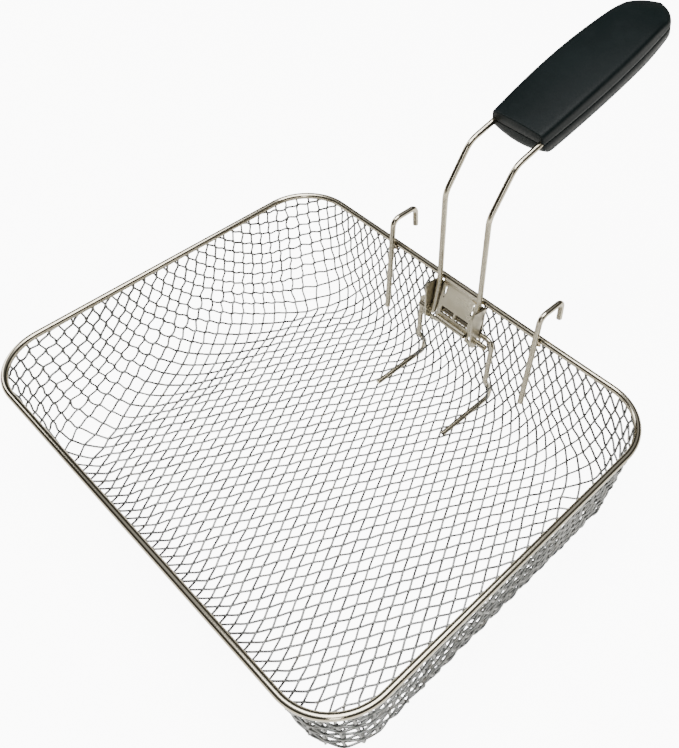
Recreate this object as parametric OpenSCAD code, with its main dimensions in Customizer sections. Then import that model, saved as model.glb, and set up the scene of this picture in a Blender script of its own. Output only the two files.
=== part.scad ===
// Wire frying basket with a fold-in handle.
// A mesh tray hangs from a thick rounded-rectangle rim wire. A sheet-metal bracket on one long
// side carries the hinge of a two-wire handle, and two hooks hang the basket on a pan's edge.
// Z = 0 is the resting plane, the handle is on the +Y side, the origin is below the middle.

/* [Basket] */
// Length of the rim, left to right, between wire centres
rim_width = 250; // [200:1:320]
// Depth of the rim, front to back, between wire centres
rim_depth = 202; // [160:1:260]
// Corner radius of the rim at the wire's centre
rim_corner = 27.7; // [25:0.1:45]
// Diameter of the rim wire
rim_dia = 3.5; // [2.5:0.1:4.5]
// Height of the rim wire's centre above the resting plane
rim_height = 68; // [56:0.5:110]
// Lean of the walls from vertical
wall_lean = 6.4; // [3:0.1:8]
// Inside radius where a wall turns into the floor
floor_fillet = 14; // [8:0.5:17]
// Thickness of the woven mesh
mesh_thick = 1.6; // [1:0.1:2]

/* [Support wire] */
// Diameter of the support wire
support_dia = 2.8; // [2:0.1:3.2]
// Distance between the two legs
support_span = 52; // [46:1:80]
// Distance from the rim down to the cross bar
support_drop = 19.5; // [19:0.5:26]
// Length of the legs on the floor, from the rim's line
support_foot = 41; // [30:1:60]

/* [Hooks] */
// Diameter of the hook wire
hook_dia = 3; // [2:0.1:3.6]
// Distance between the two hooks
hook_span = 103; // [84:1:160]
// Height of the hook arm above the rim
hook_rise = 16; // [11:0.5:24]
// Reach of the hook outside the rim
hook_reach = 15; // [10:0.5:24]

/* [Handle] */
// Diameter of the handle wire
handle_dia = 3; // [2.4:0.1:3.2]
// Distance between the two handle wires
handle_span = 28.4; // [26:0.2:30]
// Distance from the rim down to the hinge
hinge_drop = 22; // [21:0.5:26]
// Height above the rim where the wires turn outwards
handle_rise = 54; // [40:1:90]
// Slope of the grip above level
grip_slope = 13; // [5:1:25]
// Length of the grip
grip_length = 110; // [90:1:130]
// Greatest width of the grip
grip_width = 35.4; // [35:0.1:44]

/* [Hidden] */
$fn = 48;
tiny = 0.01;
play = 0.05;
far = 400;
// A wire is straight runs and round bends. A collar a hair thicker than the wire joins each two.
collar_more = 0.1;
collar_long = 0.6;
run_gap = 0.05;

// The walls hang from the rim line and lean in. wall_y is the wall's middle at a drop below it.
rim_y = rim_depth / 2;
core_x = rim_width / 2 - rim_corner;
core_y = rim_depth / 2 - rim_corner;
lean_t = tan(wall_lean);
function wall_y(drop) = rim_y - drop * lean_t;

// The fillet between wall and floor, as a distance from the corner's axis and a height.
fillet_mid = floor_fillet + mesh_thick / 2;
fillet_z = floor_fillet + mesh_thick;
fillet_r = rim_corner - (rim_height - fillet_z) * lean_t - fillet_mid / cos(wall_lean);
mesh_top = rim_height - rim_dia / 2 - 2 * play;

// The support wire lies inside the walls, passes out round the floor's edge and lies on the floor.
support_x = support_span / 2;
support_in = (mesh_thick + support_dia) / 2 + 3 * play;
support_z = mesh_thick + support_dia / 2 + 3 * play;
kick_rise = 4.5;
kick_drop = rim_height - fillet_z - kick_rise;
kick_out = 3.6;
kick_back = 1;
kick_run = 10;
support_bend = 4;
kick_bend = 2.5;
slot_wide = support_dia + 0.6;
slot_in = 17;
slot_over = 3;

// Hooks hang beside the rim wire, inside it.
hook_x = hook_span / 2;
hook_in = (rim_dia + hook_dia) / 2 + play;
hook_foot = 43.5;
hook_bend = 4.5;
hook_tip_bend = 3.5;
hook_tip = 12;

// The handle's side path, as y and z from the rim line: hinge, rim, elbow, elbow, grip.
handle_x = handle_span / 2;
handle_gap = 0.35;
hinge_z = rim_height - hinge_drop;
rim_pass = rim_y - (rim_dia + handle_dia) / 2 - handle_gap;
pass_drop = 1;
// The hinge is far enough in for the wire to clear the front of the support wire's cross bar.
bar_clear = 0.1719;
bar_share = (hinge_drop - support_drop) / (hinge_drop - pass_drop);
bar_front = wall_y(support_drop) - support_in / cos(wall_lean) - support_dia / 2;
hinge_y = (bar_front - bar_clear - handle_dia / 2 - bar_share * rim_pass) / (1 - bar_share);
hinge_slope = atan2(rim_pass - hinge_y, hinge_drop - pass_drop);
foot_reach = 24.4;
foot_bend = 1.8;
hinge_play = 0.09;
elbow_in = 1.3;
elbow_y = rim_y - elbow_in;
elbow_z = rim_height + handle_rise;
arm_out = 16;
arm_up = 21.5;
arm_y = elbow_y + arm_out;
arm_z = elbow_z + arm_up;
arm_run = 18.3;
grip_y = arm_y + arm_run;
grip_z = arm_z + arm_run * tan(grip_slope);
arm_bend = 12;
pass_bend = 30;
grip_enter = 8;
inner_run = 42;
inner_bend = 6;

// Grip sizes, in the grip's own frame: x across, y along, z up, zero where the wires enter.
grip_front = -1.5;
grip_side_r = 640;
grip_belly_at = 44;
grip_end_r = 11;
grip_up = 6.3;
grip_down = 10.5;
crown_r = 130;
belly_r = 34;
flank_in = 1.1;
droop_long = 24;
droop_start = 0.05;
droop_half = 1.3;
droop_end = 4.8;
chin_r = 6;
chin_z = 4.5;
grip_wall = 2.2;
grip_taper = 2.4;
grip_room = 30;
seam = 0.1;
fine_fn = 180;

// Weld beads, and how deep the mesh reaches into the space below the rim.
hook_bead = 2.6;
hook_bead_long = 7;
plate_bead = 2.2;
plate_bead_long = 5;
plate_bead_at = 0.82;
plate_bead_in = 1.45;
bead_sink = 0.1;
room_deep = 5;
hook_room = 20;

// Bracket: a plate that leans more than the wall, two ears and a rolled lower edge.
sheet = 1.2;
plate_lean = 17.5;
plate_top_drop = 2.2;
plate_top_y = wall_y(plate_top_drop) - mesh_thick / 2 - sheet - 2 * play;
plate_top_z = rim_height - plate_top_drop;
plate_half = handle_x - handle_dia / 2 - 0.6;
ear_in = handle_x + handle_dia / 2 + 0.4;
plate_long = 24.8;
roll_half = 10.3;
roll_r = 1.7;
roll_y = roll_r - 2 * sheet;
roll_bore = roll_r - 0.6 * sheet;
roll_drop = 21.2;
ear_front = 9.4;
ear_drop = 26;
ear_corner = 1.6;
ear_top = 1.2;
ear_back = 0.4;
ear_chin = 2.4;
ear_low = 1.4;
ear_short = 1;
strap_gap = 1.6;
window_x = 0.7;
window_wide = 9;
window_drop = 17.6;
window_tall = 4.2;
slit_x = 9.4;
slit_wide = 1.2;
slit_drop = 8.6;
slit_tall = 7;

// A wire in the plane of a list of 2D points, with a round bend at each inner point.
function heading(p, i) = atan2(p[i + 1].y - p[i].y, p[i + 1].x - p[i].x);
function folded(a) = a > 180 ? a - 360 : a < -180 ? a + 360 : a;
function turn(p, i) = folded(heading(p, i) - heading(p, i - 1));
function setback(p, r, i) = (i == 0 || i == len(p) - 1) ? 0 : r[i - 1] * tan(abs(turn(p, i)) / 2);
function step_from(p, i, a, d) = p[i] + d * [cos(a), sin(a)];

module collar(at, angle, dia) {
    translate(at) rotate([0, 0, angle]) rotate([0, 90, 0])
        cylinder(d = dia + collar_more, h = collar_long, center = true);
}

module flat_wire(p, r, dia) {
    last = len(p) - 1;
    for (i = [1 : last - 1], a = [heading(p, i - 1) + 180, heading(p, i)])
        collar(step_from(p, i, a, setback(p, r, i)), a, dia);
    for (i = [0 : last - 1]) {
        a = heading(p, i);
        near = setback(p, r, i) + (i == 0 ? 0 : run_gap);
        far_end = setback(p, r, i + 1) + (i + 1 == last ? 0 : run_gap);
        translate(step_from(p, i, a, near)) rotate([0, 0, a]) rotate([0, 90, 0])
            cylinder(d = dia, h = norm(p[i + 1] - p[i]) - near - far_end);
    }
    for (i = [1 : last - 1]) {
        a = heading(p, i - 1);
        t = turn(p, i);
        left = t > 0 ? 1 : -1;
        middle = step_from(p, i, a, -setback(p, r, i)) + left * r[i - 1] * [-sin(a), cos(a)];
        translate(middle) rotate([0, 0, t > 0 ? a - 90 : a + 90 + t])
            rotate_extrude(angle = abs(t)) translate([r[i - 1], 0]) circle(d = dia);
    }
}

// Turns the plane of a flat wire upright, at a given x, so that its points are y and z.
module side_plane(x) {
    translate([x, 0, 0]) rotate([90, 0, 90]) children();
}

module both_sides() {
    children();
    mirror([1, 0, 0]) children();
}

// ---- mesh tray ----

module tray_section(skin) {
    top_r = rim_corner - (rim_height - mesh_top) * lean_t + skin / cos(wall_lean);
    intersection() {
        union() {
            translate([fillet_r, fillet_z]) circle(r = fillet_mid + skin);
            polygon([
                [0, fillet_z - fillet_mid - skin],
                [fillet_r, fillet_z - fillet_mid - skin],
                [fillet_r, fillet_z],
                [fillet_r + (fillet_mid + skin) * cos(wall_lean),
                    fillet_z - (fillet_mid + skin) * sin(wall_lean)],
                [top_r, mesh_top],
                [0, mesh_top]
            ]);
        }
        square([far, mesh_top]);
    }
}

module tray_wall() {
    difference() {
        tray_section(mesh_thick / 2);
        translate([-tiny, 0]) tray_section(-mesh_thick / 2);
        translate([-tiny, fillet_z]) square([fillet_r + tiny, far]);
    }
}

module tray_side(half, out) {
    translate([-half, out, 0]) rotate([90, 0, 90]) linear_extrude(2 * half) tray_wall();
}

module mesh_tray() {
    color("silver") difference() {
        union() {
            for (a = [0, 180]) rotate([0, 0, a]) {
                tray_side(core_x, core_y);
                rotate([0, 0, 90]) tray_side(core_y, core_x);
                translate([core_x, core_y, 0]) rotate_extrude(angle = 90) tray_wall();
                translate([-core_x, core_y, 0]) rotate([0, 0, 90]) rotate_extrude(angle = 90) tray_wall();
            }
            translate([-core_x, -core_y, 0]) cube([2 * core_x, 2 * core_y, mesh_thick]);
        }
        for (s = [-1, 1])
            translate([s * support_x - slot_wide / 2, rim_y - slot_in, mesh_thick])
                cube([slot_wide, slot_in, rim_height - kick_drop + slot_over]);
    }
}

// ---- rim wire ----

module rim_wire() {
    color("silver") translate([0, 0, rim_height]) for (a = [0, 180]) rotate([0, 0, a]) {
        translate([-core_x, rim_y, 0]) rotate([0, 90, 0]) cylinder(d = rim_dia, h = 2 * core_x);
        translate([rim_width / 2, core_y, 0]) rotate([90, 0, 0]) cylinder(d = rim_dia, h = 2 * core_y);
        translate([core_x, core_y, 0]) rotate_extrude(angle = 90)
            translate([rim_corner, 0]) circle(d = rim_dia);
        translate([-core_x, core_y, 0]) rotate([0, 0, 90]) rotate_extrude(angle = 90)
            translate([rim_corner, 0]) circle(d = rim_dia);
    }
}

// ---- support wire ----

module support_wire() {
    bar_y = wall_y(support_drop) - support_in / cos(wall_lean);
    leg_long = (kick_drop - support_drop) / cos(wall_lean);
    mid = leg_long / 2;
    kick_y = wall_y(kick_drop) - support_in / cos(wall_lean);
    mid_y = bar_y - mid * sin(wall_lean);
    mid_z = rim_height - support_drop - mid * cos(wall_lean);
    kick_z = rim_height - kick_drop;
    out_y = wall_y(kick_drop + kick_run) + kick_out;
    color("silver") {
        translate([0, bar_y, rim_height - support_drop]) rotate([90 - wall_lean, 0, 0])
            flat_wire([[-support_x, run_gap - mid], [-support_x, 0], [support_x, 0],
                [support_x, run_gap - mid]], [support_bend, support_bend], support_dia);
        both_sides() {
            side_plane(support_x) {
                flat_wire([[mid_y, mid_z - run_gap], [kick_y, kick_z], [out_y, kick_z - kick_run],
                    [out_y - kick_back, support_z], [rim_y - support_foot, support_z]],
                    [kick_bend, kick_bend, kick_bend], support_dia);
                collar([mid_y, mid_z], 90 - wall_lean, support_dia);
            }
        }
    }
}

// ---- hooks ----

module hook(x) {
    foot_y = wall_y(hook_foot) - hook_in / cos(wall_lean);
    foot_z = rim_height - hook_foot;
    top_z = rim_height + hook_rise;
    top_y = foot_y + (top_z - foot_z) * lean_t;
    color("silver") {
        side_plane(x) flat_wire([[foot_y, foot_z], [top_y, top_z], [rim_y + hook_reach, top_z],
            [rim_y + hook_reach, top_z - hook_tip]], [hook_bend, hook_tip_bend], hook_dia);
    }
}

module hook_left() {
    hook(-hook_x);
}

module hook_right() {
    hook(hook_x);
}

// ---- weld beads between the rim and what hangs from it ----

module weld_beads() {
    color("tan") difference() {
        for (s = [-1, 1]) {
            translate([s * hook_x, rim_y - hook_in / 2 - bead_sink, rim_height - rim_dia / 2])
                rotate([0, 90, 0]) cylinder(d = hook_bead, h = hook_bead_long, center = true);
            translate([s * plate_half * plate_bead_at, rim_y - plate_bead_in,
                rim_height - rim_dia / 2 - 2 * bead_sink]) rotate([0, 90, 0])
                    cylinder(d = plate_bead, h = plate_bead_long, center = true);
        }
        translate([-far, rim_y, rim_height]) rotate([0, 90, 0])
            cylinder(d = rim_dia + play, h = 2 * far);
        for (s = [-1, 1]) translate([s * hook_x, wall_y(0) - hook_in / cos(wall_lean), rim_height])
            rotate([-wall_lean, 0, 0]) cylinder(d = hook_dia + play, h = hook_room, center = true);
        plate_frame() translate([-far, 0, -far]) cube([2 * far, sheet + play, far + 2 * play]);
        tray_room();
    }
}

// The space just under the rim that the mesh's top edge fills.
module tray_room() {
    translate([-far / 2, wall_y(room_deep) - mesh_thick, mesh_top - room_deep])
        cube([far, 4 * mesh_thick, room_deep + play]);
}

// ---- handle bracket ----

module plate_frame() {
    translate([0, plate_top_y, plate_top_z]) rotate([-plate_lean, 0, 0]) children();
}

module ear_side() {
    front = plate_top_y - ear_front;
    low = plate_long - ear_short;
    low_y = plate_top_y - low * sin(plate_lean);
    polygon([
        [plate_top_y + sheet * cos(plate_lean), plate_top_z - sheet * sin(plate_lean)],
        [front + ear_corner, plate_top_z + ear_top],
        [front, plate_top_z - ear_corner],
        [front - ear_back, rim_height - ear_drop + ear_chin],
        [front + ear_low, rim_height - ear_drop],
        [low_y + sheet * cos(plate_lean), rim_height - ear_drop],
        [low_y + sheet * cos(plate_lean), plate_top_z - low * cos(plate_lean)]
    ]);
}

module handle_bracket() {
    strap_drop = hinge_drop - plate_top_drop + handle_dia / 2 + strap_gap;
    color("lightgray") difference() {
        union() {
            plate_frame() {
                translate([-plate_half, 0, -roll_drop]) cube([2 * plate_half, sheet, roll_drop]);
                both_sides() {
                    translate([roll_half, 0, -plate_long])
                        cube([plate_half - roll_half, sheet, plate_long]);
                    translate([roll_half, 0, -plate_long])
                        cube([ear_in + sheet - roll_half, sheet, plate_long - strap_drop]);
                }
                translate([-roll_half, roll_y, -roll_drop]) rotate([0, 90, 0])
                    cylinder(r = roll_r, h = 2 * roll_half);
            }
            both_sides() side_plane(ear_in) linear_extrude(sheet) ear_side();
        }
        plate_frame() {
            translate([-roll_half - tiny, roll_y, -roll_drop]) rotate([0, 90, 0])
                cylinder(r = roll_bore, h = 2 * roll_half + 2 * tiny);
            both_sides() {
                translate([window_x, -tiny, -window_drop])
                    cube([window_wide, sheet + 2 * tiny, window_tall]);
                translate([slit_x, -tiny, -slit_drop]) cube([slit_wide, sheet + 2 * tiny, slit_tall]);
            }
        }
        both_sides() translate([ear_in - tiny, hinge_y, hinge_z]) rotate([0, 90, 0])
            cylinder(d = handle_dia + 2 * hinge_play, h = sheet + 2 * tiny);
    }
}

// ---- handle wire ----

module handle_wire_solid(dia) {
    hinge_long = (hinge_drop - pass_drop) / cos(hinge_slope);
    low = hinge_long / 2;
    low_y = hinge_y + low * sin(hinge_slope);
    low_z = hinge_z + low * cos(hinge_slope);
    enter_y = grip_y + grip_enter * cos(grip_slope);
    enter_z = grip_z + grip_enter * sin(grip_slope);
    both_sides() side_plane(handle_x) {
        collar([low_y, low_z], 90 - hinge_slope, dia);
        collar([enter_y, enter_z], grip_slope, dia);
        flat_wire([[low_y, low_z + run_gap], [rim_pass, rim_height - pass_drop],
            [elbow_y, elbow_z], [arm_y, arm_z], [enter_y, enter_z]],
            [pass_bend, arm_bend, arm_bend], dia);
    }
    translate([0, hinge_y, hinge_z]) rotate([90 - hinge_slope, 0, 0]) both_sides()
        flat_wire([[foot_reach, 0], [handle_x, 0], [handle_x, low - run_gap]], [foot_bend], dia);
    grip_frame() flat_wire([[-handle_x, grip_enter + run_gap], [-handle_x, inner_run],
        [handle_x, inner_run], [handle_x, grip_enter + run_gap]], [inner_bend, inner_bend], dia);
}

module handle_wire() {
    color("silver") handle_wire_solid(handle_dia);
}

// ---- grip shells ----

module grip_frame() {
    translate([0, grip_y, grip_z]) rotate([grip_slope, 0, 0]) children();
}

// Plan of the grip: bulging sides, a straight front and a rounded far end.
module grip_plan(inset) {
    half = grip_width / 2 - inset;
    last = grip_length - inset;
    corner = grip_end_r - inset;
    first = grip_front + inset;
    end_half = half - grip_taper;
    intersection() {
        translate([half - grip_side_r, grip_belly_at]) circle(r = grip_side_r, $fn = fine_fn);
        translate([grip_side_r - half, grip_belly_at]) circle(r = grip_side_r, $fn = fine_fn);
        union() {
            translate([-half, first]) square([2 * half, last - corner - first]);
            translate([corner - end_half, last - corner - tiny])
                square([2 * (end_half - corner), corner + tiny]);
            for (s = [-1, 1]) translate([s * (end_half - corner), last - corner]) circle(r = corner);
        }
    }
}

// Cross-section of the grip: crowned top with sloping flanks, and a rounded belly.
module grip_cross(inset) {
    half = grip_width / 2 - inset;
    intersection() {
        polygon([[-half, -far], [-half, 0], [-half + flank_in, grip_up], [half - flank_in, grip_up],
            [half, 0], [half, -far]]);
        translate([0, grip_up - inset - crown_r]) circle(r = crown_r, $fn = fine_fn);
        translate([0, belly_r - grip_down + inset]) circle(r = belly_r, $fn = fine_fn);
    }
}

// Side view of the grip: the far end droops to the seam and the front of the belly is rounded.
module grip_profile(inset) {
    front = grip_front + inset;
    intersection() {
        polygon([[grip_front - 1, -far], [grip_front - 1, grip_up + 1 - inset],
            [grip_length - droop_long, grip_up + droop_start - inset],
            [grip_length - droop_long / 2, grip_up - droop_half - inset],
            [grip_length, grip_up - droop_end - inset], [grip_length, -far]]);
        union() {
            translate([front, -chin_z]) square([far, far]);
            translate([front + chin_r - inset, -chin_z]) circle(r = chin_r - inset);
            translate([front + chin_r - inset, -far]) square([far, far]);
        }
    }
}

module grip_body(inset) {
    intersection() {
        translate([0, 0, -grip_room]) linear_extrude(2 * grip_room) grip_plan(inset);
        translate([0, grip_length + grip_room, 0]) rotate([90, 0, 0])
            linear_extrude(grip_length + 2 * grip_room) grip_cross(inset);
        translate([-grip_room, 0, 0]) rotate([90, 0, 90])
            linear_extrude(2 * grip_room) grip_profile(inset);
    }
}

module grip_shell(low, high) {
    difference() {
        grip_frame() intersection() {
            difference() {
                grip_body(0);
                grip_body(grip_wall);
            }
            translate([-grip_room, -grip_room, low])
                cube([2 * grip_room, grip_length + 2 * grip_room, high - low]);
        }
        handle_wire_solid(handle_dia + 2 * play);
    }
}

module grip_upper_shell() {
    color("darkslategray") grip_shell(seam / 2, grip_room);
}

module grip_lower_shell() {
    color("darkslategray") grip_shell(-grip_room, -seam / 2);
}

// ---- nodes ----

mesh_tray();
rim_wire();
support_wire();
hook_left();
hook_right();
weld_beads();
handle_bracket();
handle_wire();
grip_upper_shell();
grip_lower_shell();
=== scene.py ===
# %% [markdown]
# # A wire frying basket, finished in Blender
# The solids of the basket are loaded as a fixed frame. First come the sizes, the shader helpers
# and the finishes, then each piece that replaces a solid: the woven tray, the bent wires, the
# bracket, the weld beads and the grip. The floor, the lamps and the camera come last.

# %% Load the frame
import math
import bpy
import bmesh
import numpy as np
from mathutils import Matrix, Vector, noise


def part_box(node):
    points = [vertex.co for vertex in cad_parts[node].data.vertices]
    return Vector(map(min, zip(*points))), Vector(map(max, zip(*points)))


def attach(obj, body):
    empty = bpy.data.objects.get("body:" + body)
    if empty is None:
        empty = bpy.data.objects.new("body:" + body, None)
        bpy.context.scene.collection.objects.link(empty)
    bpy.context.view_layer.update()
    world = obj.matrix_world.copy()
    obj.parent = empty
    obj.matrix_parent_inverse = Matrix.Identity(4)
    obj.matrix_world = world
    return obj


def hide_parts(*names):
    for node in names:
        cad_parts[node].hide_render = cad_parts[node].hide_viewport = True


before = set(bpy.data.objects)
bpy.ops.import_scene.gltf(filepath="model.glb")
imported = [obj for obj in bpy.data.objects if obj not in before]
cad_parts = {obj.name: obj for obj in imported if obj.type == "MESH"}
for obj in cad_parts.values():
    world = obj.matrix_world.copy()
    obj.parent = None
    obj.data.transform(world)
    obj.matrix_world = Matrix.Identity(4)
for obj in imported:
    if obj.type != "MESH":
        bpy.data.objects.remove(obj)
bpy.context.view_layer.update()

MM = 0.001

# %% [markdown]
# ## Sizes
# The rim's box gives the basket's plan and height. The few sizes that a box can't tell, such as
# the lean of the walls, are written here once, in millimetres, and everything is built from them.

# %% Sizes of the basket, in millimetres
rim_low, rim_high = (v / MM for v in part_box("rim_wire"))
RIM_DIA = rim_high.z - rim_low.z
RIM_X = (rim_high.x - rim_low.x - RIM_DIA) / 2
RIM_Y = (rim_high.y - rim_low.y - RIM_DIA) / 2
RIM_Z = (rim_high.z + rim_low.z) / 2
RIM_CORNER = 27.7
LEAN = math.radians(6.4)
HALF_MESH = 0.8
FILLET = 14 + HALF_MESH
CORE_X, CORE_Y = RIM_X - RIM_CORNER, RIM_Y - RIM_CORNER
FILLET_Z = HALF_MESH + FILLET
PLAY = 0.05
FLOOR_R = RIM_CORNER - (RIM_Z - FILLET_Z) * math.tan(LEAN) - FILLET / math.cos(LEAN)


def wall_y(drop):
    """The long wall's middle, at a drop below the rim."""
    return RIM_Y - drop * math.tan(LEAN)


print("rim half length %.1f, half depth %.1f, wire %.2f" % (RIM_X, RIM_Y, RIM_DIA))

# %% [markdown]
# ## Shader helpers
# A material is a small graph. Written as plain arithmetic it stays readable, so one class wraps
# a socket and turns + and * into Math nodes, and one method adds any other node.


# %% A socket that does arithmetic
class Sock:
    def __init__(self, graph, socket):
        self.graph, self.socket = graph, socket

    def _math(self, operation, a, b):
        return self.graph.node("ShaderNodeMath", {"operation": operation}, {0: a, 1: b})

    def __add__(self, other): return self._math("ADD", self, other)
    def __radd__(self, other): return self._math("ADD", other, self)
    def __mul__(self, other): return self._math("MULTIPLY", self, other)
    def __rmul__(self, other): return self._math("MULTIPLY", other, self)


class Graph:
    def __init__(self, name):
        self.material = bpy.data.materials.new(name)
        self.material.use_nodes = True
        self.tree = self.material.node_tree
        self.shader = self.tree.nodes["Principled BSDF"]
        self.place = Sock(self, self.tree.nodes.new("ShaderNodeTexCoord").outputs["Object"])

    def node(self, kind, settings=None, values=None, out=0):
        made = self.tree.nodes.new(kind)
        for key, value in (settings or {}).items():
            setattr(made, key, value)
        for key, value in (values or {}).items():
            self.feed(made.inputs[key], value)
        return Sock(self, made.outputs[out])

    def feed(self, socket, value):
        if isinstance(value, Sock):
            self.tree.links.new(value.socket, socket)
        else:
            socket.default_value = value

    def set(self, **inputs):
        for key, value in inputs.items():
            self.feed(self.shader.inputs[key.replace("_", " ")], value)

    def noise(self, scale, detail=2.0, rough=0.5, place=None):
        return self.node("ShaderNodeTexNoise", {"noise_dimensions": "3D"},
            {"Vector": place or self.place, "Scale": scale, "Detail": detail, "Roughness": rough})

    def span(self, value, low, high):
        return self.node("ShaderNodeMapRange", {"clamp": True}, {"Value": value,
            "From Min": low, "From Max": high, "To Min": 0.0, "To Max": 1.0})

    def blend(self, amount, a, b):
        return self.node("ShaderNodeMix", {"data_type": "RGBA"}, {0: amount, 6: a, 7: b}, out=2)

    def bump(self, height, strength, distance):
        return self.node("ShaderNodeBump", {}, {"Height": height, "Strength": strength,
            "Distance": distance})


print("shader helpers ready")

# %% [markdown]
# ## Finishes
# The wires are steel with a slightly warm plating: a mirror that is softened by drawing marks
# and dulled in patches by oil and handling. The thin mesh wires are rougher and greyer. The
# sheet is the same metal, rolled flat, so it is a little softer. The grip is a very dark
# blue-green plastic with a fine moulded grain.


# %% Plated wire
TARNISH = (0.17, 0.13, 0.08, 1)


def plated_wire(name, clean, dull, rough):
    g = Graph(name)
    patches = g.span(g.noise(38.0, 3.0), 0.42, 0.72)
    marks = g.noise(900.0, 3.0, 0.6)
    fine = g.noise(4200.0, 1.0)
    tarnish = g.span(g.noise(140.0, 4.0, 0.65), 0.55, 0.75)
    colour = g.blend(patches * 0.6, clean, dull)
    colour = g.blend(tarnish * 0.35, colour, TARNISH)
    g.set(Base_Color=colour, Metallic=1.0, IOR=2.0,
        Roughness=rough + patches * 0.08 + marks * 0.06 + tarnish * 0.08,
        Normal=g.bump(marks + fine * 0.5, 0.25, 0.00006))
    return g.material


CLEAN = (0.40, 0.365, 0.285, 1)
DULL = (0.25, 0.225, 0.165, 1)
MESH_CLEAN = (0.165, 0.168, 0.163, 1)
MESH_DULL = (0.105, 0.107, 0.103, 1)
MESH_METAL = plated_wire("woven wire plating", MESH_CLEAN, MESH_DULL, 0.32)
RIM_METAL = plated_wire("rim wire plating", CLEAN, DULL, 0.07)
WIRE_METAL = plated_wire("thin wire plating", CLEAN, DULL, 0.10)
HANDLE_METAL = plated_wire("handle wire plating", CLEAN, DULL, 0.08)
print("plated wires:", [m.name for m in (MESH_METAL, RIM_METAL, WIRE_METAL, HANDLE_METAL)])


# %% Pressed sheet and weld metal
def pressed_sheet():
    g = Graph("pressed sheet plating")
    rolled = g.node("ShaderNodeMapping", {}, {"Vector": g.place, "Scale": (60.0, 900.0, 900.0)})
    lines = g.noise(3.0, 3.0, 0.6, rolled)
    patches = g.span(g.noise(70.0, 3.0), 0.4, 0.7)
    bright, worn = (0.40, 0.37, 0.29, 1), (0.28, 0.255, 0.19, 1)
    colour = g.blend(patches * 0.7, bright, worn)
    g.set(Base_Color=colour, Metallic=1.0, Roughness=0.20 + lines * 0.10 + patches * 0.08,
        Normal=g.bump(lines, 0.3, 0.00008))
    return g.material


def weld_metal():
    g = Graph("weld metal")
    lumps = g.noise(900.0, 3.0, 0.6)
    heat = g.span(g.noise(260.0, 2.0), 0.35, 0.65)
    straw, brown = (0.34, 0.27, 0.16, 1), (0.20, 0.17, 0.13, 1)
    colour = g.blend(heat, straw, brown)
    g.set(Base_Color=colour, Metallic=1.0, Roughness=0.28 + lumps * 0.2,
        Normal=g.bump(lumps, 0.6, 0.0002))
    return g.material


SHEET_METAL, WELD_METAL = pressed_sheet(), weld_metal()
print("sheet and weld finishes ready")


# %% Moulded grip plastic
def grip_plastic():
    g = Graph("grip plastic")
    grain = g.noise(2600.0, 2.0, 0.6)
    pores = g.node("ShaderNodeTexVoronoi", {"feature": "F1"}, {"Vector": g.place, "Scale": 1900.0})
    flow = g.span(g.noise(26.0, 2.0), 0.35, 0.7)
    handled = g.span(g.noise(120.0, 4.0, 0.7), 0.5, 0.75)
    deep, pale = (0.0006, 0.0024, 0.0025, 1), (0.0012, 0.0034, 0.0036, 1)
    rubbed = (0.003, 0.0055, 0.006, 1)
    colour = g.blend(flow, deep, pale)
    colour = g.blend(handled * 0.35, colour, rubbed)
    g.set(Base_Color=colour, Metallic=0.0, IOR=1.2,
        Roughness=0.42 + flow * 0.06 + handled * 0.10 + grain * 0.05,
        Normal=g.bump(grain * 0.6 + pores * 0.5, 0.22, 0.00012))
    return g.material


GRIP_PLASTIC = grip_plastic()
print("grip finish ready")

# %% [markdown]
# ## A tube along a path
# Every wire here is a round tube that follows a path. One Geometry Nodes tree does that for all
# of them: it turns edges into curves and sweeps a circle along. Radius and sides are its inputs.


# %% The sweep tree
def sweep_tree():
    tree = bpy.data.node_groups.new("wire sweep", "GeometryNodeTree")
    tree.is_modifier = True
    face = tree.interface
    face.new_socket("Geometry", in_out="INPUT", socket_type="NodeSocketGeometry")
    names = {}
    for name, kind in (("Wire radius", "Float"), ("Sides", "Int"), ("Capped", "Bool"),
            ("Finish", "Material")):
        item = face.new_socket(name, in_out="INPUT", socket_type="NodeSocket" + kind)
        names[name] = item.identifier
    face.new_socket("Geometry", in_out="OUTPUT", socket_type="NodeSocketGeometry")
    add, link = tree.nodes.new, tree.links.new
    start, end = add("NodeGroupInput"), add("NodeGroupOutput")
    curve, circle = add("GeometryNodeMeshToCurve"), add("GeometryNodeCurvePrimitiveCircle")
    sweep, real = add("GeometryNodeCurveToMesh"), add("GeometryNodeRealizeInstances")
    smooth, paint = add("GeometryNodeSetShadeSmooth"), add("GeometryNodeSetMaterial")
    link(start.outputs["Geometry"], curve.inputs["Mesh"])
    link(start.outputs["Wire radius"], circle.inputs["Radius"])
    link(start.outputs["Sides"], circle.inputs["Resolution"])
    link(curve.outputs["Curve"], sweep.inputs["Curve"])
    link(circle.outputs["Curve"], sweep.inputs["Profile Curve"])
    link(start.outputs["Capped"], sweep.inputs["Fill Caps"])
    link(sweep.outputs["Mesh"], smooth.inputs["Geometry"])
    link(smooth.outputs["Geometry"], real.inputs["Geometry"])
    link(real.outputs["Geometry"], paint.inputs["Geometry"])
    link(start.outputs["Finish"], paint.inputs["Material"])
    link(paint.outputs["Geometry"], end.inputs["Geometry"])
    return tree, names


SWEEP, SWEEP_INPUT = sweep_tree()


def outward(mesh):
    """Turns every face of a mesh outwards."""
    shape = bmesh.new()
    shape.from_mesh(mesh)
    bmesh.ops.recalc_face_normals(shape, faces=shape.faces)
    shape.to_mesh(mesh)
    shape.free()


def add_object(name, mesh):
    made = bpy.data.objects.new(name, mesh)
    bpy.context.scene.collection.objects.link(made)
    return made


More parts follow.
